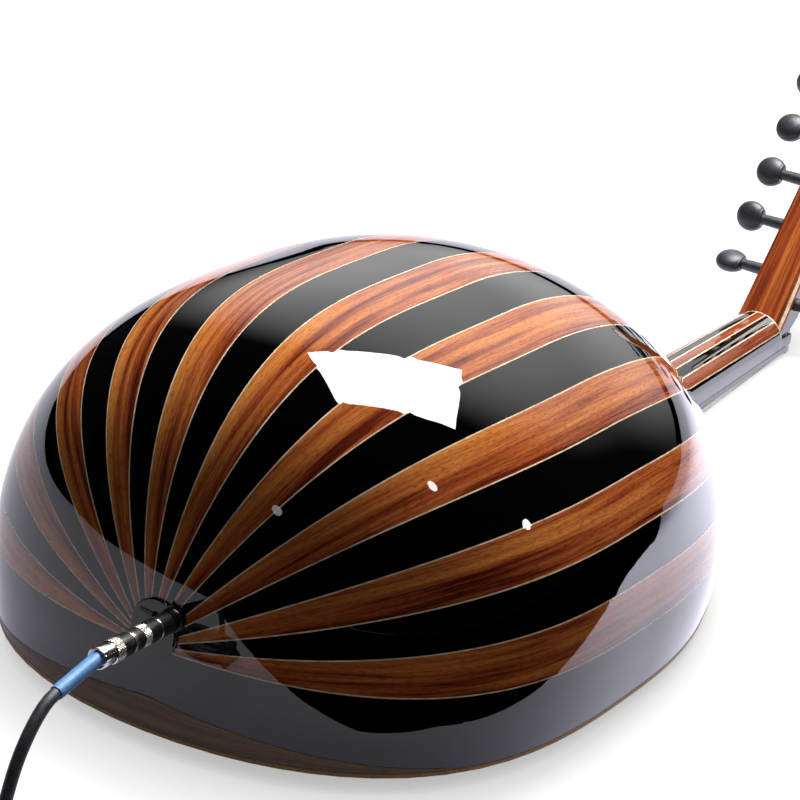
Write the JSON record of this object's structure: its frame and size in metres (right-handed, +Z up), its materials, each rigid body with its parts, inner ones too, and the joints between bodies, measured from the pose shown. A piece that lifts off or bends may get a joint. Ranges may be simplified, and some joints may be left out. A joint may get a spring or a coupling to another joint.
{
  "type": "turkish oud",
  "caption": "Pear-shaped short-necked lute with a striped ribbed bowl, a bent-back pegbox with turning side pegs, and its lead plugged into the tail, lying face down.",
  "frame": {"origin": "on the floor, under the middle of the box of the oud without its lead, which is the plane that the top of the bridge and the nut stand on", "axes": "+X runs from the tail to the neck and pegbox, +Z up, away from the soundboard towards the back of the bowl, +Y to the bass side"},
  "size_m": [1.07, 0.3362, 0.2011],
  "materials": {
    "black_rib": "black-stained wood under polished high-gloss lacquer",
    "brown_rib": "orange-brown rosewood with dark streaks under polished high-gloss lacquer",
    "spruce": "spruce soundboard, satin",
    "rosette": "fretted wood, satin",
    "ebony": "ebony, satin",
    "bridge": "dark hardwood, satin",
    "neck": "striped black and brown lamination under gloss lacquer",
    "mahogany": "red-brown figured wood under gloss lacquer",
    "block_wood": "raw lime wood",
    "bone": "polished bone",
    "string": "nylon and wound strings",
    "socket": "black moulded socket",
    "plug": "chromed and knurled rings with black bands",
    "cable": "matt rubber"
  },
  "bodies": {
    "oud_body": {"rib_01": "black_rib", "rib_02": "brown_rib", "rib_03": "black_rib", "rib_04": "brown_rib", "rib_05": "black_rib", "rib_06": "brown_rib", "rib_07": "black_rib", "rib_08": "brown_rib", "rib_09": "black_rib", "rib_10": "brown_rib", "rib_11": "black_rib", "rib_12": "brown_rib", "rib_13": "black_rib", "rib_14": "brown_rib", "rib_15": "black_rib", "rib_16": "brown_rib", "rib_17": "black_rib", "rib_18": "brown_rib", "rib_19": "black_rib", "rib_20": "brown_rib", "rib_21": "black_rib", "end_clasp": "brown_rib", "tail_cap": "ebony", "tail_block": "block_wood", "neck_block": "block_wood", "soundboard": "spruce", "rosette_large": "rosette", "rosette_small_left": "rosette", "rosette_small_right": "rosette", "pickguard": "ebony", "bridge": "bridge", "neck": "neck", "fingerboard": "ebony", "nut": "bone", "pegbox_back": "mahogany", "pegbox_cheek_left": "black_rib", "pegbox_cheek_right": "black_rib", "pegbox_end": "black_rib", "string_pair_1": "string", "string_pair_2": "string", "string_pair_3": "string", "string_pair_4": "string", "string_pair_5": "string", "string_bass": "string", "jack_socket": "socket", "cable_plug": "plug", "cable": "cable", "cable_coil": "cable", "far_plug": "plug"},
    "peg_01": {"peg_01": "ebony"},
    "peg_02": {"peg_02": "ebony"},
    "peg_03": {"peg_03": "ebony"},
    "peg_04": {"peg_04": "ebony"},
    "peg_05": {"peg_05": "ebony"},
    "peg_06": {"peg_06": "ebony"},
    "peg_07": {"peg_07": "ebony"},
    "peg_08": {"peg_08": "ebony"},
    "peg_09": {"peg_09": "ebony"},
    "peg_10": {"peg_10": "ebony"},
    "peg_11": {"peg_11": "ebony"}
  },
  "joints": [
    {"name": "peg_01_turn", "type": "hinge", "parent": "oud_body", "child": "peg_01", "pos_m": [0.28235, 0, 0.02978], "axis": [0, 1, 0], "continuous": true},
    {"name": "peg_02_turn", "type": "hinge", "parent": "oud_body", "child": "peg_02", "pos_m": [0.29354, 0, 0.04211], "axis": [0, 1, 0], "continuous": true},
    {"name": "peg_03_turn", "type": "hinge", "parent": "oud_body", "child": "peg_03", "pos_m": [0.30473, 0, 0.05444], "axis": [0, 1, 0], "continuous": true},
    {"name": "peg_04_turn", "type": "hinge", "parent": "oud_body", "child": "peg_04", "pos_m": [0.31592, 0, 0.06677], "axis": [0, 1, 0], "continuous": true},
    {"name": "peg_05_turn", "type": "hinge", "parent": "oud_body", "child": "peg_05", "pos_m": [0.32711, 0, 0.07909], "axis": [0, 1, 0], "continuous": true},
    {"name": "peg_06_turn", "type": "hinge", "parent": "oud_body", "child": "peg_06", "pos_m": [0.3383, 0, 0.09142], "axis": [0, 1, 0], "continuous": true},
    {"name": "peg_07_turn", "type": "hinge", "parent": "oud_body", "child": "peg_07", "pos_m": [0.34949, 0, 0.10375], "axis": [0, 1, 0], "continuous": true},
    {"name": "peg_08_turn", "type": "hinge", "parent": "oud_body", "child": "peg_08", "pos_m": [0.36068, 0, 0.11608], "axis": [0, 1, 0], "continuous": true},
    {"name": "peg_09_turn", "type": "hinge", "parent": "oud_body", "child": "peg_09", "pos_m": [0.37187, 0, 0.12841], "axis": [0, 1, 0], "continuous": true},
    {"name": "peg_10_turn", "type": "hinge", "parent": "oud_body", "child": "peg_10", "pos_m": [0.38306, 0, 0.14074], "axis": [0, 1, 0], "continuous": true},
    {"name": "peg_11_turn", "type": "hinge", "parent": "oud_body", "child": "peg_11", "pos_m": [0.39425, 0, 0.15307], "axis": [0, 1, 0], "continuous": true}
  ]
}
